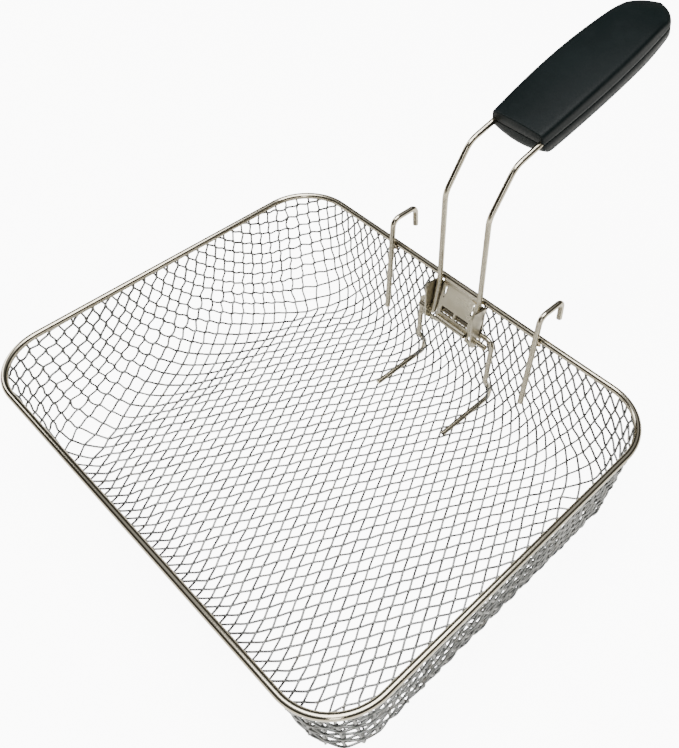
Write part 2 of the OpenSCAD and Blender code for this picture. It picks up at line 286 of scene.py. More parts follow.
def wires(name, paths, radius, material, sides, closed=False):
    """Tubes of one radius, in millimetres, along lists of points, as one finished mesh."""
    points, edges = [], []
    for path in paths:
        first = len(points)
        points += [tuple(p) for p in np.asarray(path) * MM]
        edges += [(i, i + 1) for i in range(first, len(points) - 1)]
        if closed:
            edges.append((len(points) - 1, first))
    line = bpy.data.meshes.new(name + " path")
    line.from_pydata(points, edges, [])
    maker = add_object(name + "_maker", line)
    sweep = maker.modifiers.new("wire sweep", "NODES")
    sweep.node_group = SWEEP
    for key, value in (("Wire radius", radius * MM), ("Sides", sides), ("Capped", not closed),
            ("Finish", material)):
        sweep[SWEEP_INPUT[key]] = value
    ready = maker.evaluated_get(bpy.context.evaluated_depsgraph_get())
    mesh = bpy.data.meshes.new_from_object(ready)
    bpy.data.objects.remove(maker)
    outward(mesh)
    return add_object(name, mesh)


print("sweep inputs:", list(SWEEP_INPUT))

# %% [markdown]
# ## The woven tray
# Woven wire acts like a net: the wires hardly stretch, but they turn where they cross, so a
# square mesh can be pressed into a bowl. That is how this one is made. A flat diamond lattice
# is laid over the bowl, then relaxed until each side of each diamond has its length again. The
# wires then bunch up in the corners and open out on the walls, as in a pressed basket.

# %% The bowl's section: distance out and height at a length along it
ARC = FILLET * (math.pi / 2 - LEAN)
ARC_Z = FILLET_Z - FILLET * math.sin(LEAN)
CUT_INTO_RIM = 0.55
CUT_Z = RIM_Z - RIM_DIA / 2 + CUT_INTO_RIM
CELL, HALF_X, HALF_Y = 6.6, 3.15, 5.8
CLIMB = ARC + (CUT_Z - ARC_Z) / math.cos(LEAN)
SPARE = 14
CLIMB_ALL = CLIMB + SPARE
SIDE_SQUEEZE, LONG_SQUEEZE = 0.44, 0.15


def section(s):
    """Distance from the corner's axis and height, at a length s up from the floor's edge."""
    turn = np.clip(s, 0, ARC) / FILLET
    up = np.maximum(s - ARC, 0)
    out = FLOOR_R + FILLET * np.sin(turn) + up * math.sin(LEAN)
    return out, FILLET_Z - FILLET * np.cos(turn) + up * math.cos(LEAN)


def squeeze(s):
    """How much narrower the diamonds are up the short walls, and up the long walls."""
    share = np.clip(s / (0.6 * CLIMB), 0, 1.1)
    return 1 - SIDE_SQUEEZE * share, 1 - LONG_SQUEEZE * share


steps = np.linspace(0, CLIMB_ALL, 400)
side_squeeze, long_squeeze = squeeze(steps)


def running(rate):
    """The sum of a rate along the steps."""
    return np.concatenate([[0], np.cumsum((rate[1:] + rate[:-1]) / 2 * np.diff(steps))])


FLAT_X = running(HALF_X / np.sqrt(CELL**2 - (side_squeeze * HALF_Y)**2))
FLAT_Y = running(HALF_Y / np.sqrt(CELL**2 - (long_squeeze * HALF_X)**2))
flat_long, flat_wide = CORE_X + FLOOR_R + FLAT_X[-1], CORE_Y + FLOOR_R + FLAT_Y[-1]
print("flat cloth: %.0f by %.0f mm" % (2 * flat_long, 2 * flat_wide))


# %% Lay a flat point on the bowl
def lay(flat_x, flat_y):
    """A flat point's length up the wall, its place on the bowl, and if that is on the floor."""
    x, y = np.abs(flat_x), np.abs(flat_y)
    over_x, over_y = np.maximum(x - CORE_X, 0), np.maximum(y - CORE_Y, 0)
    floor = over_x**2 + over_y**2 <= FLOOR_R**2
    low, high = np.zeros_like(x), np.full_like(x, CLIMB_ALL)
    for _ in range(40):
        mid = (low + high) / 2
        a = FLOOR_R + np.interp(mid, steps, FLAT_X)
        b = FLOOR_R + np.interp(mid, steps, FLAT_Y)
        inside = (over_x / a)**2 + (over_y / b)**2 < 1
        high, low = np.where(inside, mid, high), np.where(inside, low, mid)
    s = np.where(floor, 0, low)
    a, b = FLOOR_R + np.interp(s, steps, FLAT_X), FLOOR_R + np.interp(s, steps, FLAT_Y)
    turn = np.arctan2(over_y / b, over_x / a) / (math.pi / 2)
    r, z = section(s)
    side, long = squeeze(s)
    round_r = r * math.pi / 2
    total = CORE_X + CORE_Y + round_r
    t = np.where(y <= CORE_Y, side * y, np.where(x <= CORE_X, total - long * x,
        side * CORE_Y + turn * (total - side * CORE_Y - long * CORE_X)))
    angle = (t - CORE_Y) / r
    on_side, on_long = t < CORE_Y, t > CORE_Y + round_r
    px = np.where(on_side, CORE_X + r, np.where(on_long, total - t, CORE_X + r * np.cos(angle)))
    py = np.where(on_side, t, np.where(on_long, CORE_Y + r, CORE_Y + r * np.sin(angle)))
    px, py = np.where(floor, x, px), np.where(floor, y, py)
    z = np.where(floor, HALF_MESH, z)
    return s, np.stack([np.copysign(px, flat_x), np.copysign(py, flat_y), z], -1), floor


# %% The nearest place on the bowl, and which way is out
def onto_bowl(p):
    """The nearest point of the bowl to each point, and the direction out of the bowl there."""
    x, y, z = np.abs(p[:, 0]), np.abs(p[:, 1]), p[:, 2]
    over_x, over_y = np.maximum(x - CORE_X, 0), np.maximum(y - CORE_Y, 0)
    reach = np.hypot(over_x, over_y) + 1e-9
    nx, ny = over_x / reach, over_y / reach
    last = math.pi / 2 - LEAN
    r1, z1 = FLOOR_R + FILLET * math.sin(last), FILLET_Z - FILLET * math.cos(last)
    up = (reach - r1) * math.sin(LEAN) + (z - z1) * math.cos(LEAN)
    floor = reach < FLOOR_R
    arc = ~floor & (up < 0)
    turn = np.clip(np.arctan2(reach - FLOOR_R, FILLET_Z - z), 0, last)

    def pick(on_floor, on_arc, on_wall):
        return np.where(floor, on_floor, np.where(arc, on_arc, on_wall))

    r = pick(reach, FLOOR_R + FILLET * np.sin(turn), r1 + up * math.sin(LEAN))
    height = pick(HALF_MESH, FILLET_Z - FILLET * np.cos(turn), z1 + up * math.cos(LEAN))
    out_r = pick(0, np.sin(turn), math.cos(LEAN))
    out_z = pick(-1, -np.cos(turn), -math.sin(LEAN))
    px = np.copysign(np.where(over_x > 0, CORE_X + nx * r, np.minimum(x, CORE_X)), p[:, 0])
    py = np.copysign(np.where(over_y > 0, CORE_Y + ny * r, np.minimum(y, CORE_Y)), p[:, 1])
    out = np.stack([np.copysign(nx * out_r, p[:, 0]), np.copysign(ny * out_r, p[:, 1]), out_z], -1)
    return np.stack([px, py, height], -1), out


# %% Relax the net until its sides have their length
REACH = 60
I, J = np.meshgrid(np.arange(-REACH, REACH + 1), np.arange(-REACH, REACH + 1), indexing="ij")
level, knots, on_floor = lay(((I - J) * HALF_X).ravel(), ((I + J) * HALF_Y).ravel())
used = level < CLIMB_ALL - 1e-3
index = np.where(used, np.cumsum(used) - 1, -1).reshape(I.shape)
knots, on_floor = knots[used], on_floor[used]


def chains(length):
    """Runs of neighbouring knots along each family of wires."""
    n = I.shape[0]
    one = np.stack([index[k:n - length + 1 + k, :] for k in range(length)], -1).reshape(-1, length)
    two = np.stack([index[:, k:n - length + 1 + k] for k in range(length)], -1).reshape(-1, length)
    both = np.concatenate([one, two])
    return both[(both >= 0).all(1)]


STIFFNESS, PULL, ROUNDS = 0.12, 1.2, 220


def relax(p):
    """Gives each side of each diamond its length again, and straightens the wires a little."""
    pairs, triples = chains(2), chains(3)
    pull = np.bincount(pairs.ravel(), minlength=len(p))[:, None]
    bend = np.maximum(np.bincount(triples[:, 1], minlength=len(p)), 1)[:, None]
    for _ in range(ROUNDS):
        gap = p[pairs[:, 1]] - p[pairs[:, 0]]
        long = np.linalg.norm(gap, axis=1)[:, None]
        move, ease = np.zeros_like(p), np.zeros_like(p)
        push = 0.5 * (long - CELL) / long * gap
        np.add.at(move, pairs[:, 0], push)
        np.add.at(move, pairs[:, 1], -push)
        sag = p[triples[:, 0]] + p[triples[:, 2]] - 2 * p[triples[:, 1]]
        np.add.at(ease, triples[:, 1], sag * 0.5)
        moved, _ = onto_bowl(p + PULL * move / pull + STIFFNESS * ease / bend)
        p = np.where(on_floor[:, None], p, moved)
    return p


knots = relax(knots)
print("knots in the net:", len(knots))

# %% [markdown]
# The real tray isn't perfect. Near the middle of the left short side the cloth was pushed in when
# it was handled, so there it leaves the wall at a crease and slopes straight down to the floor.

# %% Push the left side in below a crease
CREASE_Y = (-93, -78, -57, -40, -26, -16, -6, 4, 20, 34, 66, 90)
CREASE_Z = (0, 6, 19, 30, 38, 46, 44, 39, 37, 31, 11, 0)
FOOT_SHARE, SAG_SHARE, SOFT_BELOW = 0.34, 0.16, 12


def length_up(z):
    """The length up the bowl's section, from the floor's edge, at a height."""
    on_arc = FILLET * np.arccos(np.clip((FILLET_Z - z) / FILLET, -1, 1))
    return np.where(z < ARC_Z, on_arc, ARC + (z - ARC_Z) / math.cos(LEAN))


def push_in(p):
    """Lays the left side straight from the floor to the crease, in place of the bowl's curve."""
    p = p.copy()
    height = np.interp(p[:, 1], CREASE_Y, CREASE_Z)
    wall_x = -(RIM_X - (RIM_Z - height) * math.tan(LEAN))
    bottom = FLOOR_R + CORE_X
    foot_x = -bottom + FOOT_SHARE * height
    s = np.where(p[:, 2] < HALF_MESH + 0.01, 0.0, length_up(p[:, 2]))
    from_foot = np.where(s > 0, bottom + foot_x + s, foot_x - p[:, 0])
    share = np.clip(from_foot / (bottom + foot_x + length_up(height)), 0, 1)
    hit = (p[:, 0] < foot_x) & (share < 1) & (height > 1) & (np.abs(p[:, 1]) < RIM_Y)
    sag = SAG_SHARE * height * np.sin(np.pi * share) * (1 - share)
    soft = np.clip(height / SOFT_BELOW, 0, 1)
    x_new = foot_x + share * (wall_x - foot_x)
    z_new = HALF_MESH + share * (height - HALF_MESH) - sag
    p[:, 0] = np.where(hit, p[:, 0] + soft * (x_new - p[:, 0]), p[:, 0])
    z_new = np.maximum(z_new, HALF_MESH)
    p[:, 2] = np.where(hit, p[:, 2] + soft * (z_new - p[:, 2]), p[:, 2])
    return p


WEAVE_DIA, WEAVE_LIFT, LOOSE = 1.16, 0.42, 0.16
knots = push_in(knots)
rng = np.random.default_rng(11)
loose = rng.normal(0, LOOSE, knots.shape) * [1, 1, 0.5]
knots = knots + loose * np.clip(knots[:, 2:] / 20, 0.35, 1)
knots[:, 2] = np.maximum(knots[:, 2], WEAVE_DIA / 2 + WEAVE_LIFT)
print("the crease is up to %.0f mm above the floor" % max(CREASE_Z))


# %% Directions at each knot: along both wires, and out of the cloth
def neighbours(di, dj):
    """Index of the knot a step away, or of the knot itself where there is none."""
    shifted = np.full_like(index, -1)
    n = index.shape[0]
    there_i, there_j = slice(max(di, 0), n - max(-di, 0)), slice(max(dj, 0), n - max(-dj, 0))
    here_i, here_j = slice(max(-di, 0), n - max(di, 0)), slice(max(-dj, 0), n - max(dj, 0))
    shifted[here_i, here_j] = index[there_i, there_j]
    own = index[index >= 0]
    there = shifted[index >= 0]
    return own, np.where(there >= 0, there, own)


def along_wires(p):
    """The direction of each family of wires at each knot."""
    ways = []
    for di, dj in ((1, 0), (0, 1)):
        own, ahead = neighbours(di, dj)
        _, behind = neighbours(-di, -dj)
        way = np.zeros_like(p)
        way[own] = p[ahead] - p[behind]
        ways.append(way / np.maximum(np.linalg.norm(way, axis=1), 1e-9)[:, None])
    return ways


way_one, way_two = along_wires(knots)
outward_way = np.cross(way_one, way_two)
outward_way /= np.maximum(np.linalg.norm(outward_way, axis=1), 1e-9)[:, None]
_, bowl_out = onto_bowl(knots)
outward_way *= np.sign((outward_way * bowl_out).sum(1))[:, None]
lean_together = np.sign((way_one * way_two).sum(1))[:, None]
both_ways = way_one + lean_together * way_two
both_ways /= np.maximum(np.linalg.norm(both_ways, axis=1), 1e-9)[:, None]
on_short_wall = np.clip((np.abs(knots[:, :1]) - CORE_X - 8) / 8, 0, 1)
nesting = on_short_wall * 0.75 + 0.12
print("knots where the wires lie side by side:", int((nesting > 0.5).sum()))

# %% [markdown]
# Each wire passes over one crossing wire and under the next. Along a wire the height is a wave
# that peaks at each knot, one way for one family and the other way for the other. The wave is a
# little lower than the wire's radius, so the two families press into each other slightly where
# they cross. On the squeezed short walls the wires also run side by side for a moment at each
# knot, and the diamonds turn into narrow hexagons.


# %% Turn rows of knots into crimped wires
FINE_STEP = 0.25


def crimped(rows, lift, way, side):
    """A smooth, waved path for each row of knots, cut off at the rim."""
    paths = []
    for row in rows:
        ids = row[row >= 0]
        if len(ids) < 2:
            continue
        p, out, sign = knots[ids], outward_way[ids], lift[ids][:, None]
        fine = np.arange(0, len(ids) - 0.999, FINE_STEP)
        k = np.minimum(fine.astype(int), len(ids) - 2)
        f = (fine - k)[:, None]
        a, b = p[k], p[k + 1]
        mix = nesting[ids]
        tangent = (way[ids] * (1 - mix) + side[ids] * both_ways[ids] * mix) * CELL
        h = f * f * (3 - 2 * f)
        leave, arrive = (f**3 - 2 * f**2 + f) * tangent[k], (f**3 - f**2) * tangent[k + 1]
        curve = (1 - h) * a + h * b + leave + arrive
        wave = np.cos(np.pi * f) * sign[k]
        n = out[k] * (1 - f) + out[k + 1] * f
        n /= np.linalg.norm(n, axis=1)[:, None]
        curve = curve + n * wave * WEAVE_LIFT
        keep = curve[:, 2] <= CUT_Z
        starts = np.flatnonzero(keep & ~np.r_[False, keep[:-1]])
        ends = np.flatnonzero(keep & ~np.r_[keep[1:], False])
        for s, e in zip(starts, ends):
            run = list(curve[s:e + 1])
            if s > 0:
                run.insert(0, cut(curve[s], curve[s - 1]))
            if e + 1 < len(curve):
                run.append(cut(curve[e], curve[e + 1]))
            if len(run) > 2:
                paths.append(np.array(run))
    return paths


def cut(inside, outside):
    """The point between two points where the wire meets the rim's height."""
    share = (CUT_Z - inside[2]) / (outside[2] - inside[2])
    return inside + share * (outside - inside)


parity = np.where((I + J).ravel()[used] % 2 == 0, 1.0, -1.0)
rows_one = crimped(index.T, parity, way_one, np.ones_like(lean_together))
rows_two = crimped(index, -parity, way_two, lean_together)
weave_one = wires("mesh_wires_left_leaning", rows_one, WEAVE_DIA / 2, MESH_METAL, 6)
weave_two = wires("mesh_wires_right_leaning", rows_two, WEAVE_DIA / 2, MESH_METAL, 6)
for piece in (weave_one, weave_two):
    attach(piece, "basket")
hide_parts("mesh_tray")
print("woven wires:", len(rows_one) + len(rows_two),
    "faces:", len(weave_one.data.polygons), len(weave_two.data.polygons))

# %% [markdown]
# ## Bent wires
# A thick wire is drawn as straight runs joined by round bends, as it is bent on a machine. The
# helper rounds each corner of a list of points with its own bend radius.


# %% Round the corners of a path
BEND_STEP = 5.0


def bent(points, radii):
    """A path of points with each inner corner turned into an arc."""
    p = [Vector(q) for q in points]
    path = [p[0]]
    for i in range(1, len(p) - 1):
        back, ahead = (p[i - 1] - p[i]).normalized(), (p[i + 1] - p[i]).normalized()
        turn = math.pi - back.angle(ahead)
        r = radii[i - 1]
        reach = r * math.tan(turn / 2)
        middle = p[i] + (back + ahead).normalized() * (r / math.cos(turn / 2))
        start, end = p[i] + back * reach, p[i] + ahead * reach
        n = max(3, math.ceil(math.degrees(turn) / BEND_STEP))
        axis = (start - middle).cross(end - middle).normalized()
        for k in range(n + 1):
            path.append(middle + Matrix.Rotation(turn * k / n, 3, axis) @ (start - middle))
    path.append(p[-1])
    return path


print("bend helper ready")

# %% The rim: one closed wire
CORNER_STEPS = 24


def rim_path():
    path = []
    for sx, sy, start in ((1, 1, 0), (-1, 1, 90), (-1, -1, 180), (1, -1, 270)):
        for k in range(CORNER_STEPS + 1):
            a = math.radians(start + 90 * k / CORNER_STEPS)
            x, y = RIM_CORNER * math.cos(a), RIM_CORNER * math.sin(a)
            path.append((sx * CORE_X + x, sy * CORE_Y + y, RIM_Z))
    return path


rim = wires("rim", [rim_path()], RIM_DIA / 2, RIM_METAL, 24, closed=True)
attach(rim, "basket")
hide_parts("rim_wire")
print("rim faces:", len(rim.data.polygons))

# %% The pan hooks
hook_low, hook_high = (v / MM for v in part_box("hook_right"))
HOOK_DIA = hook_high.x - hook_low.x
HOOK_X = (hook_high.x + hook_low.x) / 2
HOOK_IN = (RIM_DIA + HOOK_DIA) / 2 + PLAY
HOOK_FOOT, HOOK_RISE, HOOK_REACH, HOOK_TIP = 43.5, 16, 15, 12


def hook_path(x):
    foot_y, foot_z = wall_y(HOOK_FOOT) - HOOK_IN / math.cos(LEAN), RIM_Z - HOOK_FOOT
    top_z = RIM_Z + HOOK_RISE
    top_y = foot_y + (top_z - foot_z) * math.tan(LEAN)
    return bent([(x, foot_y, foot_z), (x, top_y, top_z), (x, RIM_Y + HOOK_REACH, top_z),
        (x, RIM_Y + HOOK_REACH, top_z - HOOK_TIP)], [4.5, 3.5])


for name, x in (("hook_left", -HOOK_X), ("hook_right", HOOK_X)):
    hook = wires("pan_" + name, [hook_path(x)], HOOK_DIA / 2, WIRE_METAL, 20)
    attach(hook, "basket")
    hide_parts(name)
print("hooks at x = ±%.1f" % HOOK_X)

# %% The support wire under the bracket
SUPPORT_DIA, SUPPORT_X, SUPPORT_DROP, SUPPORT_FOOT = 2.8, 26.0, 19.5, 41
SUPPORT_IN = HALF_MESH + SUPPORT_DIA / 2 + 3 * PLAY
KICK_DROP, KICK_RUN, KICK_OUT = RIM_Z - FILLET_Z - 4.5, 10, 3.6
KICK_BEND, BAR_BEND = 2.5, 4


def support_path():
    """From one foot on the floor, up over a kick to the cross bar, and down the other side."""
    z = 2 * HALF_MESH + SUPPORT_DIA / 2 + 3 * PLAY
    out_y = wall_y(KICK_DROP + KICK_RUN) + KICK_OUT
    half = [(RIM_Y - SUPPORT_FOOT, z), (out_y - 1, z), (out_y, RIM_Z - KICK_DROP - KICK_RUN)]
    half += [(wall_y(drop) - SUPPORT_IN / math.cos(LEAN), RIM_Z - drop)
        for drop in (KICK_DROP, SUPPORT_DROP)]
    points = [(SUPPORT_X, *q) for q in half] + [(-SUPPORT_X, *q) for q in half[::-1]]
    bends = [KICK_BEND, KICK_BEND, KICK_BEND, BAR_BEND]
    return bent(points, bends + bends[::-1])


support = wires("support", [support_path()], SUPPORT_DIA / 2, WIRE_METAL, 20)
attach(support, "basket")
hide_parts("support_wire")
print("support wire faces:", len(support.data.polygons))

# %% The handle wire, one bent wire from foot to foot
HANDLE_X, HANDLE_DIA, FOOT_REACH = 14.2, 3.0, 24.4
HINGE_DROP, HINGE_IN = 22, 5.7
HINGE = (wall_y(HINGE_DROP) - HINGE_IN, RIM_Z - HINGE_DROP)
PAST_RIM = (RIM_Y - 3.6, RIM_Z - 1)
ELBOW = (RIM_Y - 1.3, RIM_Z + 54)
ARM = (ELBOW[0] + 16, ELBOW[1] + 21.5)
SLOPE, ARM_RUN, INNER_RUN = math.radians(13), 18.3, 42
GRIP_Y, GRIP_Z = ARM[0] + ARM_RUN, ARM[1] + ARM_RUN * math.tan(SLOPE)


def handle_path():
    """From foot to foot: hinge, rim, elbow, arm and the hidden loop inside the grip."""
    inner = (GRIP_Y + INNER_RUN * math.cos(SLOPE), GRIP_Z + INNER_RUN * math.sin(SLOPE))
    half = [(FOOT_REACH, *HINGE)]
    half += [(HANDLE_X, *spot) for spot in (HINGE, PAST_RIM, ELBOW, ARM, inner)]
    points = half + [(-x, y, z) for x, y, z in half[::-1]]
    bends = [1.8, 30, 12, 12, 6]
    return bent(points, bends + bends[::-1])


handle = wires("handle_legs", [handle_path()], HANDLE_DIA / 2, HANDLE_METAL, 24)
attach(handle, "handle")
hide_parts("handle_wire")
print("handle faces:", len(handle.data.polygons))

# %% [markdown]
# ## Bracket
# The bracket is pressed from sheet, so its edges are slightly rounded. A copy of the solid is
# merged into one skin and gets a small bevel along every sharp edge, which catches the light.
# Three strips are added: a lip that meets the rim, and a back strip behind each handle wire.

# %% A strip, and the softened bracket
def strip(shape, x_low, x_high, side):
    """A bent-sheet strip between two x, from its side view: four points of y and z."""
    ends = [[shape.verts.new(Vector((x, y, z)) * MM) for y, z in side] for x in (x_low, x_high)]
    left, right = ends
    faces = [shape.faces.new((left[k], left[k - 1], right[k - 1], right[k])) for k in range(4)]
    faces += [shape.faces.new(ring) for ring in (left, right[::-1])]
    bmesh.ops.recalc_face_normals(shape, faces=faces)


FLAT_ANGLE, BEVEL_ANGLE, SHARP_ANGLE = (math.radians(a) for a in (1, 28, 35))
SAME_SPOT = 2e-6


def softened(node, name, width, material, strips):
    """A copy of a solid as one skin, with strips added and its sharp edges bevelled."""
    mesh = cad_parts[node].data.copy()
    shape = bmesh.new()
    shape.from_mesh(mesh)
    bmesh.ops.remove_doubles(shape, verts=shape.verts, dist=SAME_SPOT)
    bmesh.ops.dissolve_limit(shape, angle_limit=FLAT_ANGLE, verts=shape.verts, edges=shape.edges)
    for one in strips:
        strip(shape, *one)
    shape.to_mesh(mesh)
    shape.free()
    mesh.materials.clear()
    mesh.materials.append(material)
    mesh.polygons.foreach_set("use_smooth", [True] * len(mesh.polygons))
    mesh.set_sharp_from_angle(angle=SHARP_ANGLE)
    piece = add_object(name, mesh)
    bevel = piece.modifiers.new("rounded edges", "BEVEL")
    bevel.width, bevel.segments, bevel.limit_method = width * MM, 2, "ANGLE"
    bevel.angle_limit = BEVEL_ANGLE
    bevel.harden_normals = True
    ready = piece.evaluated_get(bpy.context.evaluated_depsgraph_get())
    done = bpy.data.meshes.new_from_object(ready)
    bpy.data.objects.remove(piece)
    return add_object(name, done)


STRIP_THICK, STRIP_GAP = 0.8, 0.15
STRIP_LOW, STRIP_HIGH = 24.0, 2.6


def back_side():
    """Side view of a strip that hangs just in front of the mesh, between two drops."""
    in_from_wall = HALF_MESH + STRIP_GAP + STRIP_THICK
    front = [(wall_y(d) - in_from_wall, RIM_Z - d) for d in (STRIP_LOW, STRIP_HIGH)]
    return [*front, *((y + STRIP_THICK, z) for y, z in front[::-1])]


LIP = [(98.75, 65.6), (98.5, 68.2), (99.3, 68.4), (99.75, 65.6)]
STRIPS = [(-12.0, 12.0, LIP), (-17.2, -11.6, back_side()), (11.6, 17.2, back_side())]
bracket = softened("handle_bracket", "bracket", 0.16, SHEET_METAL, STRIPS)
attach(bracket, "basket")
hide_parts("handle_bracket")
print("bracket faces:", len(bracket.data.polygons))


# %% Weld beads
LUMPY, LUMP_SCALE = 0.22, 1.3
HOOK_WELD, BRACKET_WELD, BRACKET_WELD_X = (3.0, 1.2, 1.3), (2.6, 1.0, 1.0), 10.0


def weld_blob(x, y, z, sx, sy, sz, seed):
    """A lumpy drop: where its middle is, and how far it reaches along x, y and z."""
    shape = bmesh.new()
    bmesh.ops.create_icosphere(shape, subdivisions=4, radius=1.0)
    for v in shape.verts:
        lump = 1 + LUMPY * noise.noise(v.co * LUMP_SCALE + Vector((seed, 0, 0)))
        reach = Vector((v.co.x * sx, v.co.y * sy, v.co.z * sz)) * lump
        v.co = (Vector((x, y, z)) + reach) * MM
    return shape


def weld_beads():
    mesh = bpy.data.meshes.new("weld_beads_made")
    whole = bmesh.new()
    spots = [(s * HOOK_X, RIM_Y - HOOK_IN / 2 - 0.1, RIM_Z - 1.7, *HOOK_WELD) for s in (-1, 1)]
    spots += [(s * BRACKET_WELD_X, RIM_Y - 1.6, RIM_Z - 1.9, *BRACKET_WELD) for s in (-1, 1)]
    for k, spot in enumerate(spots):
        blob = weld_blob(*spot, seed=3.1 * k)
        part = bpy.data.meshes.new("one")
        blob.to_mesh(part)
        blob.free()
        whole.from_mesh(part)
        bpy.data.meshes.remove(part)
    whole.to_mesh(mesh)
    whole.free()
    mesh.polygons.foreach_set("use_smooth", [True] * len(mesh.polygons))
    mesh.materials.append(WELD_METAL)
    return add_object("weld_spots", mesh)


welds = weld_beads()
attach(welds, "basket")
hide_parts("weld_beads")
print("weld faces:", len(welds.data.polygons))

# %% [markdown]
# ## Grip
# The grip is two moulded shells. Each is lofted: one cross-section is repeated along the grip
# and changes its width and height on the way, so the sides bulge and the far end droops.

# %% The grip's outline and heights, in its own frame
GRIP_LONG, GRIP_FRONT = 110.0, -1.5
WIDEST_Y, HALF_WIDEST, BULGE_NEAR, BULGE_FAR = 44, 17.7, 640, 460
END_CORNER, END_TAPER = 13.0, 2.2
CROWN, ARCH, ARCH_LONG = 6.3, 1.5, 96
DROOP_LONG, DROOP_RADIUS = 26, 68


def half_width(y):
    """Half the grip's width: a long bulge, with rounded corners at the far end."""
    bulge = HALF_WIDEST - (y - WIDEST_Y)**2 / (2 * (BULGE_NEAR if y < WIDEST_Y else BULGE_FAR))
    left = GRIP_LONG - y
    if left < END_CORNER:
        around = math.sqrt(max(END_CORNER**2 - (END_CORNER - left)**2, 0))
        bulge = (bulge - END_TAPER * (1 - left / END_CORNER)) - END_CORNER + around
    return max(bulge, 0.05)


def crown_height(y):
    """The height of the top shell's middle line: a slight arch that droops at the far end."""
    drop = max(0.0, y - (GRIP_LONG - DROOP_LONG))
    arch = ARCH * math.sin(math.pi * min(max(y / ARCH_LONG, 0), 1))
    return CROWN + arch - drop**2 / (2 * DROOP_RADIUS)


def grip_world(x, y, z):
    """From the grip's own frame to the shared frame."""
    return Vector((x, GRIP_Y + y * math.cos(SLOPE) - z * math.sin(SLOPE),
        GRIP_Z + y * math.sin(SLOPE) + z * math.cos(SLOPE))) * MM


print("half width in mid grip: %.1f mm" % half_width(WIDEST_Y))


# %% Loft a shell from sections
def lofted(name, sections, material):
    """sections: lists of the same number of points, closed round each; capped at both ends."""
    shape = bmesh.new()
    rings = [[shape.verts.new(grip_world(*p)) for p in ring] for ring in sections]
    n = len(rings[0])
    for a, b in zip(rings, rings[1:]):
        for k in range(n):
            shape.faces.new((a[k], a[(k + 1) % n], b[(k + 1) % n], b[k]))
    for ring in (rings[0], rings[-1]):
        shape.faces.new(ring)
    bmesh.ops.recalc_face_normals(shape, faces=shape.faces)
    if shape.calc_volume(signed=True) < 0:
        bmesh.ops.reverse_faces(shape, faces=shape.faces)
    mesh = bpy.data.meshes.new(name)
    shape.to_mesh(mesh)
    shape.free()
    mesh.polygons.foreach_set("use_smooth", [True] * len(mesh.polygons))
    mesh.materials.append(material)
    return add_object(name, mesh)


FRONT_STEPS, BODY_STEPS, END_STEPS, FRONT_ROUND, END_LONG = 5, 46, 14, 0.8, 11


def stations():
    """Positions along the grip, with how far the section pulls in at the rounded front."""
    out = []
    for k in range(FRONT_STEPS + 1):
        a = math.pi / 2 * k / FRONT_STEPS
        along, inset = FRONT_ROUND * (1 - math.sin(a)), FRONT_ROUND * (1 - math.cos(a))
        out.append((GRIP_FRONT + along, inset))
    body_from, body_to = GRIP_FRONT + FRONT_ROUND + 2, GRIP_LONG - END_LONG - 1
    out += [(y, 0.0) for y in np.linspace(body_from, body_to, BODY_STEPS)]
    for k in range(END_STEPS):
        out.append((GRIP_LONG - END_LONG * (1 - math.sin(math.pi / 2 * k / END_STEPS)), 0.0))
    return sorted(out)


# %% The two shells' sections
SEAM, SEAM_ROUND = 0.15, 0.25
CROWN_RADIUS, CROWN_STEPS, RIDGE, RIDGE_SOFT, SIDE_STEPS = 130, 26, 1.1, 0.35, 5
BELLY_DEPTH, BELLY_RADIUS, BELLY_STEPS, CHIN = 10.5, 34.0, 30, 6.0


def upper_section(y, inset):
    """The top shell: a level seam, steep sides and a slightly rounded crown."""
    w = half_width(y) - inset
    seam = SEAM + inset * 0.3
    top = max(crown_height(y) - inset, seam + 0.4)
    ridge = min(RIDGE, w * 0.3)
    foot = seam + SEAM_ROUND

    def crown(x):
        return top - x * x / (2 * CROWN_RADIUS)

    rise = max(crown(w - ridge), seam + 0.3) - 0.78 - foot
    climb = [k / SIDE_STEPS for k in range(1, SIDE_STEPS)]
    side = [(0.55 * ridge * share, foot + rise * share) for share in climb]
    ring = [(-w + SEAM_ROUND, y, seam), (-w, y, foot), *((x - w, y, z) for x, z in side)]
    for k in range(CROWN_STEPS + 1):
        u = -1 + 2 * k / CROWN_STEPS
        x = (w - ridge) * u
        ring.append((x, y, crown(x) - RIDGE_SOFT * max(0.0, abs(u) - 0.9) / 0.1))
    ring += [(w - x, y, z) for x, z in side[::-1]]
    return ring + [(w, y, foot), (w - SEAM_ROUND, y, seam)]


def lower_section(y, inset):
    """The bottom shell: a level seam and a rounded belly that thins out to the far end."""
    w = half_width(y) - inset
    seam = -SEAM - inset * 0.3
    chin = max(0.0, CHIN - (y - GRIP_FRONT))
    depth = BELLY_DEPTH - inset - (CHIN - math.sqrt(max(CHIN**2 - chin**2, 0)))
    end = max(0.0, y - (GRIP_LONG - 40))
    depth = max(depth - end**2 / 250, 1.6)
    bow = (0.75 + 0.25 * depth / BELLY_DEPTH) / (2 * BELLY_RADIUS)
    ring = [(-w + 0.3, y, seam), (-w, y, seam - 0.3)]
    for k in range(BELLY_STEPS + 1):
        u = -1 + 2 * k / BELLY_STEPS
        x = w * math.sin(u * math.pi / 2)
        ring.append((x * 0.999, y, min(x * x * bow - depth, seam - 0.9)))
    return ring + [(w, y, seam - 0.3), (w - 0.3, y, seam)]


upper = lofted("grip_top", [upper_section(*at) for at in stations()], GRIP_PLASTIC)
lower = lofted("grip_bottom", [lower_section(*at) for at in stations()], GRIP_PLASTIC)
for piece, node in ((upper, "grip_upper_shell"), (lower, "grip_lower_shell")):
    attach(piece, "handle")
    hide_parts(node)
print("grip faces:", len(upper.data.polygons), len(lower.data.polygons))

